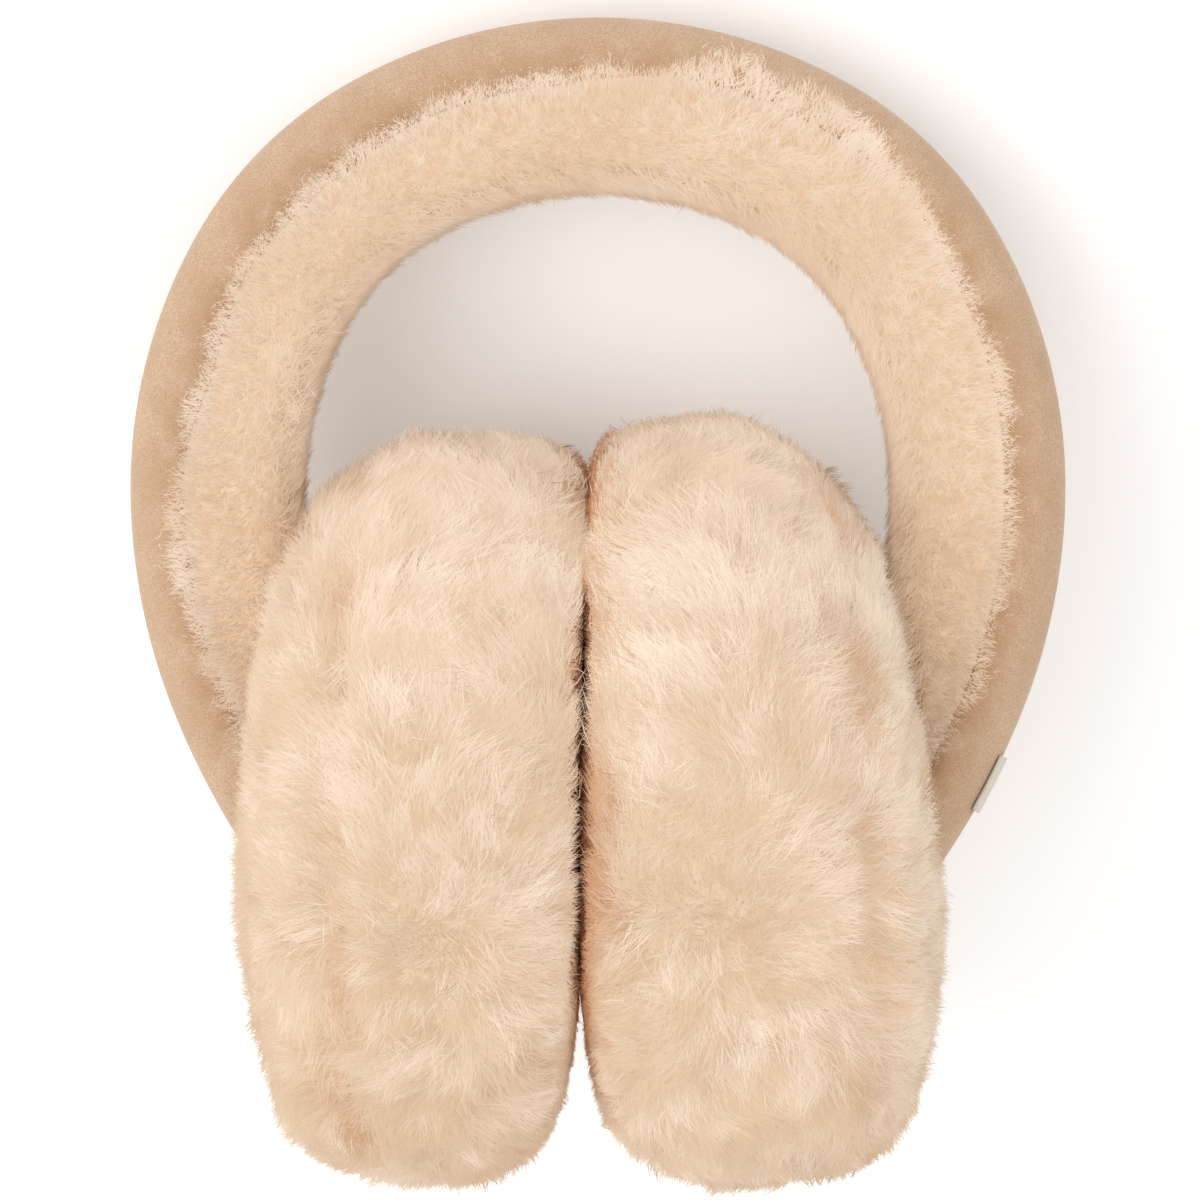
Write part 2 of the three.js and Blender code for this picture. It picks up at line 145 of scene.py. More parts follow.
# Suede cover of the headband: a channel of soft tan suede that makes the outer
# face of the arch and wraps both of its edges. It is one profile carried along
# the arch, and its lips follow the wavy edge of the pile that it holds.
BAND_RADIUS = 0.0797
BAND_WIDTH = 0.036
BAND_DEPTH = 0.0288
RIM_DEPTH = 0.0095
SUEDE_WALL = 0.002
EDGE_ROUND = 0.0075
LIP_REACH = 0.0010
PIECE_GAP = 0.0003
# turn of each arc in degrees and its radius as a share of BAND_RADIUS
BAND_ARCS = np.array([[30, 1.087], [30, 0.851], [30, 1.097], [22, 1.298], [14, 1.718]])
END_TURN = BAND_ARCS[:, 0].sum()
# rows of points across the flat of the band, and round each of its edges
FLAT_STEPS = 10
EDGE_STEPS = 8
SUEDE_RINGS = 300
# depth to which the pile covers the front of the band at a turn, negative on the left
PILE_EDGE = np.array([
    [-126, 0.0085], [-107, 0.0075], [-97, 0.0068], [-86, 0.0086], [-76, 0.0112],
    [-63, 0.0102], [-50, 0.0114], [-38, 0.0122], [-24, 0.0108], [-5, 0.0108],
    [3, 0.0096], [10, 0.0080], [16, 0.0045], [27, 0.0034], [36, 0.0042],
    [43, 0.0068], [50, 0.0088], [65, 0.0098], [126, 0.0098],
])


def linear(red, green, blue):
    """A colour from 0 to 255 as seen on a screen becomes light from 0 to 1."""
    share = np.array([red, green, blue]) / 255
    return tuple(np.where(share > 0.04045, ((share + 0.055) / 1.055) ** 2.4, share / 12.92))


def arch_at(turn):
    """Place on the outer edge of the arch at a turn, and the ways inwards and along.

    Each tangent arc of radius r adds r (sin b - sin a) to x and r (cos b - cos a) to y,
    where a and b are the headings at its ends.
    """
    side = np.where(turn < 0, -1.0, 1.0)
    left, heading = np.abs(turn), np.zeros_like(turn)
    x, y = np.zeros_like(turn), np.full_like(turn, BAND_RADIUS)
    for i, (arc, share) in enumerate(BAND_ARCS):
        step = left if i == len(BAND_ARCS) - 1 else np.minimum(left, arc)
        ahead, radius = heading + np.radians(step), share * BAND_RADIUS
        x = x + radius * (np.sin(ahead) - np.sin(heading))
        y = y + radius * (np.cos(ahead) - np.cos(heading))
        heading, left = ahead, left - step
    none = np.zeros_like(turn)
    place = np.stack([side * x, y, none], -1)
    inward = np.stack([-side * np.sin(heading), -np.cos(heading), none], -1)
    along = np.stack([np.cos(heading), -side * np.sin(heading), none], -1)
    return place, inward, along


def on_band(turn, depth, across):
    """Point of the band: depth into the arch from its outer edge, and across to the viewer."""
    place, inward, _ = arch_at(turn)
    return place + inward * depth[..., None] + np.array([0, 0, 1.0]) * across[..., None]


def pile_edge(turn):
    """Depth of the pile's edge on the front: the table's rows joined by straight lines."""
    return np.interp(turn, PILE_EDGE[:, 0], PILE_EDGE[:, 1])


def lip_depth(turn):
    """Depth of the suede's front lip.

    It is RIM_DEPTH, or LIP_REACH past the pile's edge where that is deeper.
    """
    return np.maximum(RIM_DEPTH, pile_edge(turn) + LIP_REACH)


def outer_profile(inset, steps, wrap=np.pi / 2):
    """Outer face and rounded edges of the band, an inset inside its outside.

    It is two arcs of radius EDGE_ROUND less the inset, joined by a straight line.
    """
    angle = np.linspace(wrap, 0, steps)
    radius = EDGE_ROUND - inset
    depth = EDGE_ROUND - radius * np.cos(angle)
    across = BAND_WIDTH / 2 - EDGE_ROUND + radius * np.sin(angle)
    flat = np.linspace(across[-1], -across[-1], FLAT_STEPS + 2)[1:-1]
    return (
        np.concatenate([depth, np.full(FLAT_STEPS, inset), depth[::-1]]),
        np.concatenate([across, flat, -across[::-1]]),
    )


def tube(rings, loop):
    """Quads between the rings of a tube, closed round each ring, with both ends left open."""
    i, j = np.meshgrid(np.arange(rings - 1), np.arange(loop), indexing="ij")
    next_j = (j + 1) % loop
    corners = [i * loop + j, i * loop + next_j, (i + 1) * loop + next_j, (i + 1) * loop + j]
    return np.stack(corners, -1).reshape(-1, 4)


def shell_ends(rings, loop):
    """Quads that close both ends of a thin-walled tube, from each point to the one opposite it."""
    j = np.arange(loop // 2 - 1)
    start = np.stack([j + 1, j, loop - 1 - j, loop - 2 - j], -1)
    return np.concatenate([start, start[:, ::-1] + (rings - 1) * loop])


outside, inside = outer_profile(0, EDGE_STEPS), outer_profile(SUEDE_WALL, EDGE_STEPS)
turns = np.linspace(-END_TURN, END_TURN, SUEDE_RINGS)
lip = lip_depth(turns)
profile_depth = np.concatenate([[0], outside[0], [0, 0], inside[0][::-1], [0]])
profile_across = np.concatenate([[0], outside[1], [0, 0], inside[1][::-1], [0]])
depth = np.tile(profile_depth, (len(turns), 1))
across = np.tile(profile_across, (len(turns), 1))
edge_front, edge_back = outside[1][0], outside[1][-1]
last = len(outside[0])
depth[:, 0], across[:, 0] = lip, edge_front
depth[:, last + 1], across[:, last + 1] = RIM_DEPTH, edge_back
depth[:, last + 2], across[:, last + 2] = RIM_DEPTH, inside[1][-1]
depth[:, -1], across[:, -1] = lip, inside[1][0]
# share of the way towards the lip, which carries painted shade where the suede tucks under the pile's
# edge
near_lip = np.clip(depth / lip[:, None], 0, 1) ** 1.5
suede_points = on_band(np.repeat(turns[:, None], depth.shape[1], 1), depth, across)
suede_faces = np.concatenate([tube(*depth.shape), shell_ends(*depth.shape)])[:, ::-1]

suede_paint, nodes, links, shader = paint("suede", linear(208, 178, 150), 0.95)
shader.inputs["Sheen Weight"].default_value = 0.25
shader.inputs["Sheen Roughness"].default_value = 0.5
shader.inputs["Sheen Tint"].default_value = (*linear(240, 220, 200), 1)
shader.inputs["Specular IOR Level"].default_value = 0.1


def speckle(nodes, links, scale, detail, low, high, most=1.0):
    """Noise on the object's own coordinates, stretched from low and high to 0 and most."""
    noise = nodes.new("ShaderNodeTexNoise")
    noise.inputs["Scale"].default_value = scale
    noise.inputs["Detail"].default_value = detail
    stretch = nodes.new("ShaderNodeMapRange")
    stretch.inputs["From Min"].default_value = low
    stretch.inputs["From Max"].default_value = high
    stretch.inputs["To Max"].default_value = most
    places = nodes.new("ShaderNodeTexCoord")
    links.new(places.outputs["Object"], noise.inputs["Vector"])
    links.new(noise.outputs["Fac"], stretch.inputs["Value"])
    return stretch.outputs["Result"]


def blend_colour(nodes, links, share, first, second):
    """A mix of two colours, or of a colour and a socket's, by the share that a socket gives."""
    mix = nodes.new("ShaderNodeMix")
    mix.data_type = "RGBA"
    links.new(share, mix.inputs["Factor"])
    inputs = [socket for socket in mix.inputs if socket.type == "RGBA"]
    for socket, colour in zip(inputs, (first, second)):
        if isinstance(colour, tuple):
            socket.default_value = (*colour, 1)
        else:
            links.new(colour, socket)
    return next(socket for socket in mix.outputs if socket.type == "RGBA")


def roughen(nodes, links, shader, height, strength, distance):
    """A bump on the shader, as high as a socket says."""
    bump = nodes.new("ShaderNodeBump")
    bump.inputs["Strength"].default_value = strength
    bump.inputs["Distance"].default_value = distance
    links.new(height, bump.inputs["Height"])
    links.new(bump.outputs["Normal"], shader.inputs["Normal"])


def store(piece, name, kind, field, values):
    """An attribute of the piece's points, for its material to read."""
    attribute = piece.data.attributes.new(name, kind, "POINT")
    attribute.data.foreach_set(field, np.asarray(values, np.float32).ravel())


blotches = speckle(nodes, links, 130, 5, 0.35, 0.7, 0.45)
nap = speckle(nodes, links, 3400, 5, 0.32, 0.7)
napped = blend_colour(nodes, links, nap, linear(170, 139, 112), linear(206, 179, 154))
mottled = blend_colour(nodes, links, blotches, napped, linear(172, 140, 112))
# painted shade: the suede turns darker brown in patches towards its lip, under the overhanging pile
shadowed = nodes.new("ShaderNodeAttribute")
shadowed.attribute_name = "near_lip"
patchy = nodes.new("ShaderNodeMath")
patchy.operation = "MULTIPLY"
links.new(shadowed.outputs["Fac"], patchy.inputs[0])
links.new(speckle(nodes, links, 180, 3, 0.25, 0.55), patchy.inputs[1])
lip_shaded = blend_colour(nodes, links, patchy.outputs["Value"], mottled, linear(158, 118, 84))
links.new(lip_shaded, shader.inputs["Base Color"])
roughen(nodes, links, shader, nap, 0.3, 0.0002)

suede = shape("suede_cover", lay_down(suede_points.reshape(-1, 3)), suede_faces, suede_paint)
store(suede, "near_lip", "FLOAT", "value", 0.9 * near_lip)
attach(suede, "root")
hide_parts("band_suede")

# Sheepskin lining of the headband: short dense pile sewn into the suede channel
# and standing out of it towards the head. A soft skin carries wisps of hair that
# lie outwards on the faces and lap over the edge of the suede.
PILE_SWELL = 0.0012
PILE_ROUND = 0.007
BAND_SINK = 0.0022
# depth of the pile as a share of its full depth, at a share of the way to the end
PILE_TAPER = np.array([[0, 1], [0.76, 1], [0.82, 0.94], [0.87, 0.72], [0.92, 0.4], [1, 0.08]])
LINING_RINGS = 260
LINING_STEPS = 48
BAND_WISPS = 4100
HAIRS_A_WISP = 16
# shares of all wisps that lap over the suede, and that stand on the front and back halves
LAPPED_WISPS = 0.2
FRONT_WISPS = 0.46
BACK_WISPS = 0.34
WISP_SPREAD = 0.0013
# turn of neighbouring wisps round the section, which spreads them evenly
GOLDEN = 0.618034


def lining(turn, share):
    """Surface of the pile round its section, share 0 at the front lip and 1 at the back one.

    The section is two straight faces and a straight inner side, joined by quarter circles.
    """
    taper = np.interp(np.abs(turn) / END_TURN, PILE_TAPER[:, 0], PILE_TAPER[:, 1])
    half = BAND_WIDTH / 2 - SUEDE_WALL * (1 - taper) + PILE_SWELL * taper
    start = RIM_DEPTH + PIECE_GAP
    inner = start + taper * (BAND_DEPTH - start)
    radius = PILE_ROUND * taper
    straight, arc, floor_half = inner - start - radius, radius * np.pi / 2, half - radius
    run = straight + arc + floor_half
    s = (1 - np.abs(1 - 2 * share)) * run
    side = np.where(share < 0.5, 1.0, -1.0)
    bend = np.clip((s - straight) / np.maximum(arc, 1e-6), 0, 1) * np.pi / 2
    beyond = np.clip(s - straight - arc, 0, None)
    depth = start + np.clip(s, 0, straight) + radius * np.sin(bend)
    across = side * (half - radius * (1 - np.cos(bend)) - beyond)
    return on_band(turn, depth, across), depth


def lap(turn, depth):
    """Place on the front of the suede at a depth, and the way out of it.

    The front is a quarter circle of EDGE_ROUND, and is flat beyond it.
    """
    _, inward, _ = arch_at(turn)
    short = np.clip(EDGE_ROUND - depth, 0, EDGE_ROUND)
    high = np.sqrt(EDGE_ROUND**2 - short**2)
    out = (high[:, None] * np.array([0, 0, 1.0]) - short[:, None] * inward) / EDGE_ROUND
    return on_band(turn, depth, BAND_WIDTH / 2 - EDGE_ROUND + high), out


def unit(ways):
    """Each direction at length 1."""
    return ways / np.maximum(np.linalg.norm(ways, axis=-1, keepdims=True), 1e-12)


def cross_slopes(surface, u, v, step_u, step_v):
    """Point of a surface, and the cross product of its changes over a small step each way."""
    here = surface(u, v)[0]
    return here, np.cross(surface(u + step_u, v)[0] - here, surface(u, v + step_v)[0] - here)


def outward(surface, u, v, step_u, step_v, way):
    """Point of a surface and its normal, which is way times the cross product at length 1."""
    here, cross = cross_slopes(surface, u, v, step_u, step_v)
    return here, unit(cross) * way


# Hair: flat ribbons, turned to the table's up and to the way out of their skin.
UP = np.array([0, -np.sin(TILT), np.cos(TILT)])
ROOT_SINK = 0.0003
HAIR_KNOTS = np.array([0.0, 0.55, 1.0])
HAIR_TAPER = np.array([1.0, 0.8])
TABLE_GAP = 0.0001
# a hair needs this much of its width across the view, and a face this much turned up
LEAST_ACROSS = 0.35
LEAST_FACED = 0.02


def combed(lay, out):
    """Directions of hair that don't lean up where the surface stands upright."""
    lay[:, 2] -= 1.1 * np.clip(lay[:, 2], 0, 1) * (1 - np.abs(out[:, 2]))
    return unit(lay - out * (lay * out).sum(-1, keepdims=True))


def rooted(middle, out, depth, offsets, bend):
    """Roots sunk into the skin, and how much longer that makes each hair.

    A root offset sideways is sunk by ROOT_SINK + offset^2 / (2 bend), because the skin
    curves away from its middle with a radius of bend.
    """
    sunk = ROOT_SINK + (offsets**2).sum(-1) / (2 * bend)
    return middle - out * (depth + sunk)[:, None] + offsets, sunk


def hair(name, strands, random, material, bound=None):
    """One mesh of many hairs, each a ribbon of two pairs of points and a tip.

    At a share s of its length a hair has risen by rise (1.6 s - 0.6 s^2) and leant along
    its lay by lean s^1.5, and the offset from the middle of its wisp has shrunk by
    gather s. Where bound is given, it moves points that would lie in the other pad.
    """
    bound = bound or (lambda points: points)
    out, offsets = strands["out"], strands["offsets"]
    rise, lean, gather = (strands[key][:, None, None] for key in ("rise", "lean", "gather"))
    s = HAIR_KNOTS[None, :, None]
    line = bound(
        (strands["roots"] - offsets)[:, None]
        + offsets[:, None] * (1 - gather * s)
        + out[:, None] * rise * (1.6 * s - 0.6 * s**2)
        + strands["lay"][:, None] * lean * s**1.5
    )
    along = unit(line[:, 2] - line[:, 0])
    seen = out + 0.7 * UP + 0.15 * random.normal(size=out.shape)
    side = np.cross(along, seen)
    faced = seen - along * (along * seen).sum(-1, keepdims=True)
    # a hair that points straight at the viewer shows its edge or its back, and is left out
    shown = np.linalg.norm(side, axis=1) > LEAST_ACROSS
    shown &= (faced[:, 2] > LEAST_FACED) | (out[:, 2] < 0.2)
    line, along, side = line[shown], along[shown], unit(side)[shown]
    width, normals, tones = (strands[key][shown] for key in ("width", "normals", "tones"))
    count = len(line)
    spread = HAIR_TAPER[None, :, None] * width[:, None, None] / 2
    left, right = line[:, :2] - side[:, None] * spread, line[:, :2] + side[:, None] * spread
    points = lay_down(bound(np.concatenate([left, right, line[:, 2:]], 1)))
    points[..., 2] = np.maximum(points[..., 2], TABLE_GAP)
    corners = np.array([[0, 2, 3], [0, 3, 1], [1, 3, 4]])
    faces = (np.arange(count)[:, None, None] * 5 + corners[None]).reshape(-1, 3)
    piece = shape(name, points.reshape(-1, 3), faces, material)
    fibre, facing = turn_down(along), turn_down(unit(normals))
    lit = unit(np.array([0, 0, 1.0]) - fibre * fibre[:, 2:])
    share = np.clip(facing[:, 2:] + 1.1, 0, 1)
    shading = np.repeat(unit(facing * 0.8 + lit * share), 5, 0)
    piece.data.normals_split_custom_set_from_vertices(shading)
    colour = np.ones((count, 5, 4))
    colour[..., 0] = HAIR_KNOTS[[0, 1, 0, 1, 2]]
    colour[..., 1:] = tones[:, None]
    store(piece, "pile", "FLOAT_COLOR", "color", colour)
    # fine hair lets light past it, so these wider strands neither shade nor tint the rest
    piece.visible_shadow = False
    piece.visible_diffuse = False
    return piece


def pile_paint(name, root, tip, pale, warm, shade_brown):
    """Hair that changes from root to tip, with pale and warm places, and painted shade of deep brown.

    Its attribute holds the share of the length, and the shares of pale, warm and painted shade.
    """
    material, nodes, links, shader = paint(name, tip, 1.0)
    shader.inputs["Specular IOR Level"].default_value = 0.05
    shader.inputs["Sheen Weight"].default_value = 0.1
    shader.inputs["Sheen Roughness"].default_value = 0.6
    pile = nodes.new("ShaderNodeAttribute")
    pile.attribute_name = "pile"
    parts = nodes.new("ShaderNodeSeparateColor")
    links.new(pile.outputs["Color"], parts.inputs["Color"])
    patch = blend_colour(nodes, links, parts.outputs["Green"], tip, pale)
    body = blend_colour(nodes, links, parts.outputs["Blue"], patch, warm)
    # darker towards the root: partly the wool's own tone, partly painted shade among the hairs, which
    # cast no shadows
    shaded = blend_colour(nodes, links, parts.outputs["Red"], root, body)
    # painted shade of deep brown, as much as the attribute's alpha says
    hidden = blend_colour(nodes, links, pile.outputs["Alpha"], shaded, shade_brown)
    links.new(hidden, shader.inputs["Base Color"])
    return material


def skin_paint(name, dark, light, brown):
    """Felted wool under the hair: two tones mixed by noise, and painted shade of brown where its
    attribute is 1.
    """
    material, nodes, links, shader = paint(name, light, 1.0)
    shader.inputs["Specular IOR Level"].default_value = 0.05
    wool = speckle(nodes, links, 420, 4, 0.3, 0.7)
    body = blend_colour(nodes, links, wool, dark, light)
    # painted shade: brown in the crease between the pads
    shade_brown = nodes.new("ShaderNodeAttribute")
    shade_brown.attribute_name = "shade_brown"
    browned = blend_colour(nodes, links, shade_brown.outputs["Fac"], body, brown)
    links.new(browned, shader.inputs["Base Color"])
    roughen(nodes, links, shader, wool, 0.6, 0.0006)
    return material


def waves(points, size, seed):
    """Smooth random numbers, mostly from -1 to 1: five sine waves of about that size."""
    random = np.random.default_rng(seed)
    ways = unit(random.normal(size=(5, 3))) * random.uniform(0.7, 1.4, (5, 1)) * 2 * np.pi / size
    phases = random.uniform(0, 2 * np.pi, 5)
    return np.sin(points @ ways.T + phases).sum(-1) / 3


band_skin_paint = skin_paint(
    "band_wool", dark=linear(196, 164, 134), light=linear(212, 184, 156), brown=linear(150, 98, 58)
)
band_pile_paint = pile_paint(
    "band_pile", root=linear(194, 167, 141), tip=linear(214, 191, 168), pale=linear(222, 205, 186),
    warm=linear(204, 176, 149), shade_brown=linear(180, 140, 106),
)


def capped(rings):
    """Points and faces of a closed body from a stack of rings, with a fan at each end."""
    count, loop = rings.shape[:2]
    points = np.concatenate([rings.reshape(-1, 3), rings[:1].mean(1), rings[-1:].mean(1)])
    quads = tube(count, loop)
    triangles = np.concatenate([quads[:, [0, 1, 2]], quads[:, [0, 2, 3]]])
    j = np.arange(loop)
    start = np.stack([(j + 1) % loop, j, np.full(loop, count * loop)], -1)
    end = np.stack([j, (j + 1) % loop, np.full(loop, count * loop + 1)], -1)
    end[:, :2] += (count - 1) * loop
    return points, np.concatenate([triangles, start, end])


def lining_outward(turn, share):
    """Point of the lining and its normal, taken just before the back lip at its end."""
    return outward(lining, turn, np.clip(share, 0, 0.9999), 0.01, 1e-4, -1)


turns = np.linspace(-END_TURN, END_TURN, LINING_RINGS)
grid_turn, grid_share = np.meshgrid(turns, np.linspace(0, 1, LINING_STEPS), indexing="ij")
skin_points, skin_normals = lining_outward(grid_turn, grid_share)
skin_points = skin_points - skin_normals * BAND_SINK
hidden_depth, hidden_across = outer_profile(SUEDE_WALL + PIECE_GAP, 6)
hidden = on_band(
    np.repeat(turns[:, None], len(hidden_depth), 1),
    np.tile(hidden_depth[::-1], (len(turns), 1)),
    np.tile(hidden_across[::-1], (len(turns), 1)),
)
ring = np.concatenate([skin_points, hidden], 1)
skin_points, skin_faces = capped(ring)
lining_skin = shape("lining_skin", lay_down(skin_points), skin_faces, band_skin_paint)
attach(lining_skin, "root")
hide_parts("band_fur")

random = np.random.default_rng(3)
number = np.arange(BAND_WISPS) + 0.5
wisp_turn = (2 * number / BAND_WISPS - 1) * 0.97 * END_TURN
wisp_share = (number * GOLDEN) % 1
lapped = wisp_share < LAPPED_WISPS
wisp_share = np.where(
    wisp_share < 1 - BACK_WISPS,
    0.5 * (wisp_share - LAPPED_WISPS) / FRONT_WISPS,
    0.5 + 0.5 * (wisp_share - (1 - BACK_WISPS)) / BACK_WISPS,
)
ragged = 0.0008 * waves(np.stack([wisp_turn, wisp_turn, 0 * wisp_turn], -1), 7.0, 4)
wisp_edge = pile_edge(wisp_turn) + ragged + random.normal(0, 0.0006, BAND_WISPS)
first_lap = wisp_edge + 0.0014
lap_depth = first_lap + (RIM_DEPTH + 0.002 - first_lap) * random.random(BAND_WISPS)
turn, share, lapped, lap_depth, wisp_edge = (
    np.repeat(values, HAIRS_A_WISP) for values in (wisp_turn, wisp_share, lapped, lap_depth, wisp_edge)
)
hairs = len(turn)
centre, out = lining_outward(turn, share)
depth = lining(turn, share)[1]
lap_centre, lap_out = lap(turn, lap_depth)
centre = np.where(lapped[:, None], lap_centre, centre)
out = np.where(lapped[:, None], lap_out, out)
depth = np.where(lapped, lap_depth, depth)
_, inward, along_band = arch_at(turn)
front = np.clip(2 * out[:, 2], 0, 1)
inner = np.clip((out * inward).sum(-1), 0, 1)

# lay: out of the arch on the faces, and along the arch with swirls on the inner side
swirl = np.repeat(random.normal(0, 0.4, (BAND_WISPS, 1)), HAIRS_A_WISP, 0)
outwards = np.clip(1.5 - (depth - RIM_DEPTH) / 0.008, 0.1, 1)[:, None]
lay = unit(
    -inward * outwards * (1 - inner[:, None]) + along_band * (swirl + 0.8 * inner[:, None])
    + 0.22 * random.normal(size=inward.shape)
)
lay = combed(lay, out)
offsets = WISP_SPREAD * random.normal(size=out.shape)
offsets -= out * (offsets * out).sum(-1, keepdims=True)

# length: shorter near the edge of the pile, which it doesn't pass by much
near_edge = np.clip(1 - (depth - wisp_edge) / 0.006, 0, 1) * front
reach = np.clip(depth - wisp_edge, 0.0008, None) * random.uniform(0.6, 1.25, hairs)
lean = random.uniform(0.0022, 0.0042, hairs)
lean = lean * (1 - near_edge) + np.minimum(lean, reach) * near_edge
wisp_height = np.repeat(random.uniform(-0.0008, 0.0004, BAND_WISPS), HAIRS_A_WISP)
rise = (BAND_SINK + wisp_height) * random.uniform(0.75, 1.05, hairs) + 0.0006
rise += 0.001 * inner * random.random(hairs)
lapped_rise = random.uniform(0.0006, 0.0016, hairs) * np.clip((depth - wisp_edge) / 0.004, 0.3, 1)
rise = np.where(lapped, lapped_rise, rise)
# lapped hair that starts past the suede's lip is rooted in the lining's skin below it
past_lip = np.where(lapped & (depth > lip_depth(turn)), BAND_SINK - PILE_SWELL, 0)
roots, sunk = rooted(centre, out, np.where(lapped, past_lip, BAND_SINK), offsets, PILE_ROUND)
rise = rise + sunk + past_lip

# tones: pale and warm at random, painted shade that turns warmer towards the inner side, and painted
# shade of deep brown low down beside the pads
wisp_pale = np.repeat(random.normal(size=BAND_WISPS), HAIRS_A_WISP)
pale = 0.6 + 0.4 * waves(centre, 0.02, 1) + 0.4 * wisp_pale
# painted shade: warmer towards the inner side of the arch, and deep brown near the ends beside the
# pads
warm = 0.12 + 0.35 * waves(centre, 0.03, 2) + 0.5 * np.clip((depth - 0.018) / 0.008, 0, 1)
shade_brown = np.clip((np.abs(turn) - 84) / 40, 0, 0.3) * np.clip((depth - RIM_DEPTH) / 0.012, 0, 1)
strands = {
    "roots": roots, "out": out, "lay": lay, "rise": rise, "lean": lean, "offsets": offsets,
    "gather": random.uniform(0.2, 0.6, hairs),
    "width": random.uniform(0.00014, 0.00025, hairs),
    "normals": out + np.repeat(random.uniform(-0.35, 0.35, (BAND_WISPS, 3)), HAIRS_A_WISP, 0),
    "tones": np.stack([np.clip(pale, 0, 1), np.clip(warm, 0, 1), shade_brown], -1),
}
lining_pile = hair("lining_pile", strands, random, band_pile_paint)
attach(lining_pile, "root")

# Woven label: a small bare tape of cream weave that wraps the outside of the right
# end of the band, with a folded edge at each end. It is a thin shell on the suede.
LABEL_LENGTH = 0.0105
LABEL_THICKNESS = 0.0006
LABEL_FROM_END = 0.015
LABEL_WRAP = np.radians(30)

top, under = (outer_profile(-PIECE_GAP - above, 6, LABEL_WRAP) for above in (LABEL_THICKNESS, 0))
profile_depth = np.concatenate([top[0], under[0][::-1]])
profile_across = np.concatenate([top[1], under[1][::-1]])
from_end = np.linspace(LABEL_FROM_END + LABEL_LENGTH, LABEL_FROM_END, 24)
turns = END_TURN - np.degrees(from_end / (BAND_ARCS[-1, 1] * BAND_RADIUS))
depth = np.tile(profile_depth, (len(turns), 1))
across = np.tile(profile_across, (len(turns), 1))
turns = np.repeat(turns[:, None], len(profile_depth), 1)
label_points = on_band(turns, depth, across)
label_faces = np.concatenate([tube(*turns.shape), shell_ends(*turns.shape)])[:, ::-1]

label_paint, nodes, links, shader = paint("label_tape", linear(214, 206, 194), 0.8)
weave = nodes.new("ShaderNodeTexBrick")
weave.inputs["Scale"].default_value = 900
weave.inputs["Color1"].default_value = (*linear(214, 206, 194), 1)
weave.inputs["Color2"].default_value = (*linear(202, 193, 180), 1)
weave.inputs["Mortar"].default_value = (*linear(178, 168, 154), 1)
places = nodes.new("ShaderNodeTexCoord")
links.new(places.outputs["Object"], weave.inputs["Vector"])
links.new(weave.outputs["Color"], shader.inputs["Base Color"])
roughen(nodes, links, shader, weave.outputs["Fac"], 0.4, 0.0001)

label = shape("label_tape", lay_down(label_points.reshape(-1, 3)), label_faces, label_paint)
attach(label, "root")
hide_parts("label")

# Ear pads: each is an ear cushion, which meets the ear, and a back, which is sewn
# over the end of the band. Both are deep sheepskin that is combed away from a
# parting low on the front, with a soft groove along the seam between them.
PAD_BOTTOM = 0.1209
CONTACT_OFFSET = -0.0031
CONTACT_GAP = 0.00015
CONTACT_WAVE = {"height": 0.0008, "length": 0.016}
CREASE_LEAN = 0.002
OUTER_LEAN = 0.0026
PAD_SINK = 0.0036
PAD_BEND = 0.02
GROOVE_DEPTH = 0.0026
GROOVE_HALF = 0.0035
PRESS_REACH = 0.006
SKIN_GAP = 0.0001
SKIN_PRESS = 0.0009
SKIN_LIFT = 0.0006
HAIR_GAP = 0.00005
PADS = {
    "left": {
        "side": -1, "radius": 0.0652, "thickness": 0.0596, "seam": 0.040, "rise": 0.0, "seed": 11,
        "pale_back": -0.4, "pale_at": (-0.034, -0.062, 0.060), "brown_reach": 0.0011,
    },
    "right": {
        "side": 1, "radius": 0.0665, "thickness": 0.0615, "seam": 0.046, "rise": 0.0019, "seed": 12,
        "pale_back": 1.0, "pale_at": (0.009, -0.030, 0.055), "brown_reach": 0.0040,
    },
}
# reach as a share of the radius, and offset through the top and through the bottom
# of the pad as a share of the thickness
PAD_OUTLINE = np.array([
    [0.0, 0.0, 0.0], [0.5, 0.0, 0.0], [0.7, 0.0, 0.035], [0.85, 0.0, 0.085],
    [0.92, 0.03, 0.15], [0.967, 0.11, 0.24], [1.0, 0.33, 0.38], [0.94, 0.58, 0.76], [0.85, 0.71, 0.87],
    [0.7, 0.83, 0.93], [0.5, 0.9, 0.98], [0.25, 0.95, 1.0], [0.0, 0.985, 0.985],
])
PARTING = {"out": 0.38, "up": -0.35, "front": 1.0}
PAD_STEPS = 120
PAD_RINGS = 40
PAD_WISPS = 5300
HAIRS_A_PAD_WISP = 18
PAD_WISP_SPREAD = 0.0019
SLOPE_STEP = 1e-3

steps = np.hypot(np.diff(PAD_OUTLINE[:, 0]), np.diff(PAD_OUTLINE[:, 1:].mean(1)))
knots = np.concatenate([[0], np.cumsum(steps)]) / steps.sum()


def eased(share, column):
    """Smooth curve through a column of PAD_OUTLINE.

    Its cubic pieces have at each knot the slope of the column there.
    """
    values, slopes = PAD_OUTLINE[:, column], np.gradient(PAD_OUTLINE[:, column], knots)
    i = np.clip(np.searchsorted(knots, share) - 1, 0, len(knots) - 2)
    gap = knots[i + 1] - knots[i]
    s = (share - knots[i]) / gap
    return (
        (1 + 2 * s) * (1 - s) ** 2 * values[i] + s * (1 - s) ** 2 * gap * slopes[i]
        + s**2 * (3 - 2 * s) * values[i + 1] + s**2 * (s - 1) * gap * slopes[i + 1]
    )


def pad_middle(pad):
    """Height of the middle of a pad."""
    return pad["radius"] - PAD_BOTTOM


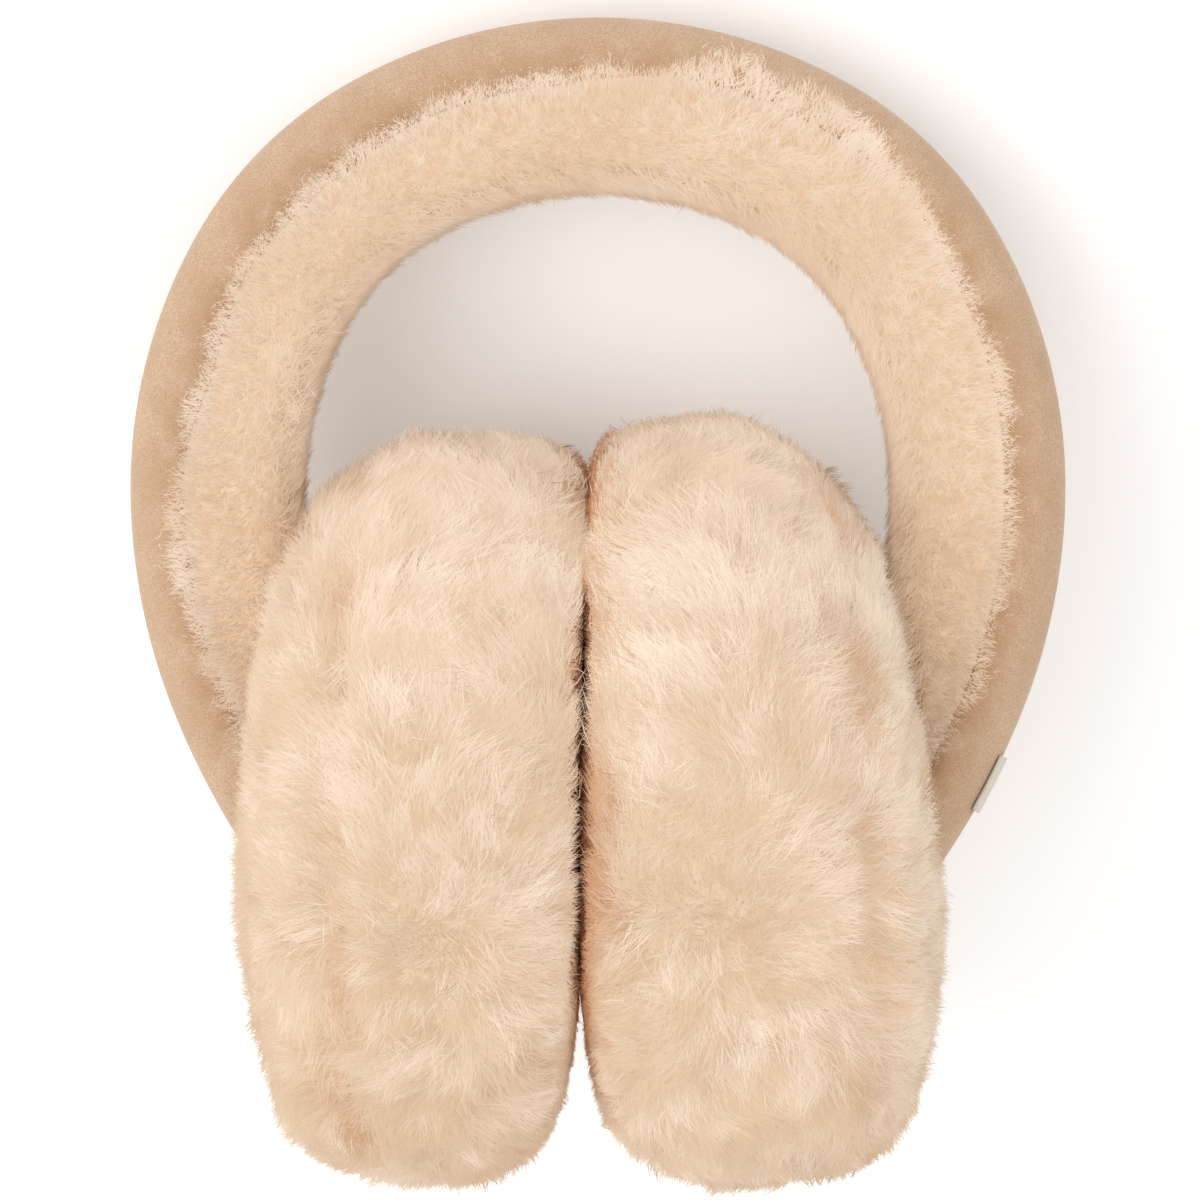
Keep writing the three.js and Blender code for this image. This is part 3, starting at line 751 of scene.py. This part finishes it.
def pad_surface(pad, angle, share):
    """Outside of a pad, and how far it lies from the face between the pads.

    The angle runs from its top towards the viewer, and the share along its outline.
    The outline's offset is blended from top to bottom by (1 - cos angle) / 2, and the
    groove is a dip of GROOVE_DEPTH e^(-d^2) at a distance of d GROOVE_HALF from the seam,
    which fades out by (sin angle)^2 towards the top and the bottom.
    """
    low = (1 - np.cos(angle)) / 2
    reach = np.maximum(eased(share, 0), 0)
    offset = np.maximum(eased(share, 1) * (1 - low) + eased(share, 2) * low, 0)
    dip = GROOVE_DEPTH * np.exp(-(((offset * pad["thickness"] - pad["seam"]) / GROOVE_HALF) ** 2))
    dip = dip * np.sin(angle) ** 2
    radius = reach * pad["radius"] - dip
    up = reach * np.cos(angle)
    x = CONTACT_OFFSET + pad["side"] * (CONTACT_GAP + offset * pad["thickness"])
    x = x + CREASE_LEAN * (1 - offset) * np.maximum(0, up) - OUTER_LEAN * offset * up
    y = pad_middle(pad) + radius * np.cos(angle)
    z = pad["rise"] + radius * np.sin(angle)
    return np.stack([x, y, z], -1), offset * pad["thickness"]


def pile_depth(pad, points, through):
    """How deep the skin lies under the ends of the hair.

    It is a little wavy, and less by 0.8 e^(-d^2) at a distance of 5 mm d from the other pad.
    """
    wavy = 1 + 0.2 * waves(points, 0.012, pad["seed"])
    return PAD_SINK * (1 - 0.8 * np.exp(-((through / 0.005) ** 2))) * wavy


def contact_x(pad, y):
    """Where the face between the two pads lies at a height: it leans over above the pads' middles."""
    return CONTACT_OFFSET + CREASE_LEAN * np.maximum(0, (y - pad_middle(pad)) / pad["radius"])


def clear_of_other_pad(pad, points, gap, press=0.0):
    """Points are kept a gap away from the face between the pads.

    Those nearer than PRESS_REACH are drawn to it by up to press. The face is a shallow
    sine wave in depth, so that the two pads close the view between them.
    """
    contact = contact_x(pad, points[..., 1])
    contact += CONTACT_WAVE["height"] * np.sin(2 * np.pi * points[..., 2] / CONTACT_WAVE["length"])
    away = pad["side"] * (points[..., 0] - contact)
    if press:
        away = np.interp(away, [-1, gap + press, PRESS_REACH, 1], [gap, gap, PRESS_REACH, 1])
    points[..., 0] = contact + pad["side"] * np.maximum(away, gap)
    return points


def seam_share(pad, angle):
    """Share of the way along the outline at which it crosses the seam, from a fine table."""
    table = np.linspace(0.4, 1, 200)
    _, offsets = pad_surface(pad, angle[:, None], np.tile(table, (len(angle), 1)))
    return table[np.argmax(offsets > pad["seam"], axis=1)]


pad_skin_paint = skin_paint(
    "pad_wool", dark=linear(190, 162, 134), light=linear(206, 181, 155), brown=linear(230, 176, 126)
)
pad_pile_paint = pile_paint(
    "pad_pile", root=linear(188, 160, 133), tip=linear(209, 185, 161), pale=linear(227, 211, 192),
    warm=linear(197, 169, 140), shade_brown=linear(166, 104, 52),
)


def pad_skin(pad, name, angles, first, final):
    """Closed woolly body between two shares of a pad's outline, with painted shade of brown near the
    other pad.
    """
    rows = np.linspace(0, 1, PAD_RINGS)[:, None]
    places = first[None] * (1 - rows) + final[None] * rows
    grid = np.tile(angles, (PAD_RINGS, 1))
    surface = partial(pad_surface, pad)
    points, normals = outward(surface, grid, places, SLOPE_STEP, SLOPE_STEP, pad["side"])
    sink = pile_depth(pad, points, surface(grid, places)[1])
    points, faces = capped(points - normals * sink[..., None])
    points = clear_of_other_pad(pad, points, SKIN_GAP, SKIN_PRESS)
    if pad["side"] < 0:
        faces = faces[:, ::-1]
    above = points[:, 1] - pad_middle(pad)
    # painted shade: brown by the other pad in the crease, stronger low down
    near_contact = np.exp(-(((points[:, 0] - contact_x(pad, points[:, 1])) / 0.003) ** 2))
    points = lay_down(points)
    points[:, 2] = np.maximum(points[:, 2], SKIN_LIFT)
    skin = shape(name, points, faces, pad_skin_paint)
    store(skin, "shade_brown", "FLOAT", "value", near_contact * np.clip(0.7 - above / 0.12, 0.2, 0.95))
    return skin


def pad_wisps(pad, random):
    """Angle and share of each wisp of a pad, drawn evenly over its surface.

    They are denser in the crease and on the front, and sparse on the face that presses
    on the other pad.
    """
    tries = 14 * PAD_WISPS
    angle, place = random.uniform(0, 2 * np.pi, tries), random.uniform(0.0, 1.0, tries)
    surface = partial(pad_surface, pad)
    area = np.linalg.norm(cross_slopes(surface, angle, place, SLOPE_STEP, SLOPE_STEP)[1], axis=1)
    pressed = (place < 0.5) & (eased(place, 0) < 0.62)
    by_contact = np.exp(-((surface(angle, place)[1] / 0.005) ** 2)) * np.clip(np.sin(angle), 0, 1)
    weight = area * np.where(pressed, 0.1, 1.0 + 1.2 * by_contact) * (1.0 + 0.5 * np.sin(angle))
    chosen = np.flatnonzero(random.random(tries) < weight / weight.max())[:PAD_WISPS]
    return angle[chosen], place[chosen]


def from_parting(pad, middle, out):
    """Way along the surface from the pad's parting to each point, and how far it is."""
    parting = np.array([
        CONTACT_OFFSET + pad["side"] * PARTING["out"] * pad["thickness"],
        pad_middle(pad) + PARTING["up"] * pad["radius"],
        pad["rise"] + PARTING["front"] * pad["radius"],
    ])
    away = middle - parting
    away -= out * (away * out).sum(-1, keepdims=True)
    distance = np.linalg.norm(away, axis=1)
    return away / np.maximum(distance, 1e-4)[:, None], distance


def crease_brown(pad, through, low, leant):
    """Share of painted shade of deep brown in the crease, strongest where the pads meet.

    It is e^(-d^2) of the distance to the other pad, which counts half of what the hair
    leans away from it, with a narrow line of nearly full painted shade at the very edge.
    """
    brown = 0.9 - 0.7 * np.exp(-(((low + 0.33) / 0.14) ** 2)) - 0.5 * np.clip(2 * low - 0.8, 0, 1)
    brown_reach = pad["brown_reach"] * (1 - 0.5 * np.clip(-2.5 * low - 1, 0, 1))
    leant_in = 0.5 * np.clip(1.6 * low + 0.8, 0, 1) * leant
    from_contact = np.clip(through + leant_in, 0, None)
    edge = 0.95 * np.exp(-((through / 0.0012) ** 2))
    return np.maximum(brown * np.exp(-((from_contact / brown_reach) ** 2)), edge)


def pad_strands(pad, random):
    """All hairs of a pad, and how far each starts from the face between the pads."""
    angle, place = (np.repeat(values, HAIRS_A_PAD_WISP) for values in pad_wisps(pad, random))
    per_wisp = partial(np.repeat, repeats=HAIRS_A_PAD_WISP, axis=0)
    hairs, wisps = len(angle), len(angle) // HAIRS_A_PAD_WISP
    surface = partial(pad_surface, pad)
    middle, out = outward(surface, angle, place, SLOPE_STEP, SLOPE_STEP, pad["side"])
    through = surface(angle, place)[1]
    away, distance = from_parting(pad, middle, out)

    # lay: away from the parting in swirls, and straight to the viewer in the crease
    swirl = 0.9 * waves(middle, 0.03, pad["seed"] + 2)[:, None]
    lay = away * np.cos(swirl) + np.cross(out, away) * np.sin(swirl)
    lay = lay + per_wisp(0.4 * random.normal(size=(wisps, 3))) + 0.2 * random.normal(size=(hairs, 3))
    in_crease = np.exp(-((through / 0.003) ** 2)) * np.clip(2 * np.sin(angle) - 0.8, 0, 1)
    lay = combed(unit(lay), out) * (1 - in_crease[:, None])
    lay = unit(lay + in_crease[:, None] * [0, -0.2, 1])
    offsets = PAD_WISP_SPREAD * random.normal(size=out.shape)
    offsets -= out * (offsets * out).sum(-1, keepdims=True)

    # length: longer far from the parting and in the crease, shorter where the pads press
    lean = (0.0034 + 0.0046 * np.clip(distance / 0.03, 0, 1)) * random.uniform(0.6, 1.2, hairs)
    height = random.uniform(-0.0014, 0.0004, wisps) + 0.0012 * (random.random(wisps) < 0.15)
    deepness = pile_depth(pad, middle, through)
    rise = deepness * (1 + per_wisp(height) / PAD_SINK) * random.uniform(0.7, 1.02, hairs) + 0.0008
    front = np.clip(2 * out[:, 2] - 0.4, 0, 1)
    free = np.maximum(np.clip(through / 0.012, 0, 1), front)
    lean *= (0.5 + 0.5 * np.clip(1.6 * out[:, 2], 0, 1)) * (0.35 + 0.65 * free)
    lean += 0.0022 * in_crease * random.uniform(0.3, 1, hairs)
    rise += 0.003 * front * np.exp(-((through / 0.005) ** 2)) * random.uniform(0.4, 1, hairs)

    # tones: pale and warm streaks, painted shade that turns warmer low down, and painted shade of deep
    # brown in the crease, along the seam's groove and round the parting
    low = np.clip(-(middle[:, 1] - pad_middle(pad)) / pad["radius"], -1, 1)
    crease = crease_brown(pad, through, low, pad["side"] * lay[:, 0] * lean)
    patches = np.clip(waves(middle, 0.03, 9) + 0.5, 0, 1)
    at_seam = np.exp(-(((through - pad["seam"]) / 0.002) ** 2)) * patches
    at_parting = np.exp(-((distance / 0.006) ** 2))
    gather = np.clip(0.5 + 0.28 * low + per_wisp(0.1 * random.normal(size=wisps)), 0.1, 0.85)
    pale = pad["pale_back"] * np.clip((through - pad["seam"]) / 0.008, 0, 1)
    pale += 0.7 * np.exp(-((np.linalg.norm(middle - pad["pale_at"], axis=1) / 0.016) ** 2))
    streak = waves(0.05 * away + 0.3 * middle, 0.009, pad["seed"] + 4)
    pale += 0.4 + 0.3 * waves(middle, 0.02, 5) + 0.4 * streak
    pale += per_wisp(0.35 * random.normal(size=wisps))
    # painted shade: warmer and darker towards the bottom of the pad
    warm = 0.35 + 0.3 * waves(middle, 0.03, 6) - 0.4 * streak + 0.35 * low
    warm += per_wisp(0.2 * random.normal(size=wisps))
    # painted shade of deep brown in the crease, the seam's groove and the parting
    shade_brown = crease + 0.45 * at_seam + 0.15 * at_parting
    width = random.uniform(0.00015, 0.00026, hairs)
    roots, sunk = rooted(middle, out, deepness, offsets, PAD_BEND)
    strands = {
        "roots": roots, "out": out, "lay": lay, "rise": rise + sunk, "lean": lean, "gather": gather,
        "offsets": offsets, "width": width,
        "normals": out + per_wisp(random.uniform(-0.45, 0.45, (wisps, 3))),
        "tones": np.stack([np.clip(pale, 0, 1), np.clip(warm, 0, 1), np.clip(shade_brown, 0, 0.9)], -1),
    }
    return strands, through


for side_name, pad in PADS.items():
    angles = np.linspace(0, 2 * np.pi, PAD_STEPS, endpoint=False)
    seam = seam_share(pad, angles)
    spans = {"cushion": (np.full(PAD_STEPS, 0.02), seam), "back": (seam, np.full(PAD_STEPS, 0.98))}
    for part, (first, final) in spans.items():
        skin = pad_skin(pad, f"{part}_{side_name}_skin", angles, first, final)
        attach(skin, "root")
        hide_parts(f"{part}_{side_name}")

    random = np.random.default_rng(pad["seed"])
    strands, through = pad_strands(pad, random)
    bound = partial(clear_of_other_pad, pad, gap=HAIR_GAP)
    for part, kept in (("cushion", through < pad["seam"]), ("back", through >= pad["seam"])):
        some = {key: values[kept] for key, values in strands.items()}
        pile = hair(f"{part}_{side_name}_pile", some, random, pad_pile_paint, bound)
        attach(pile, "root")
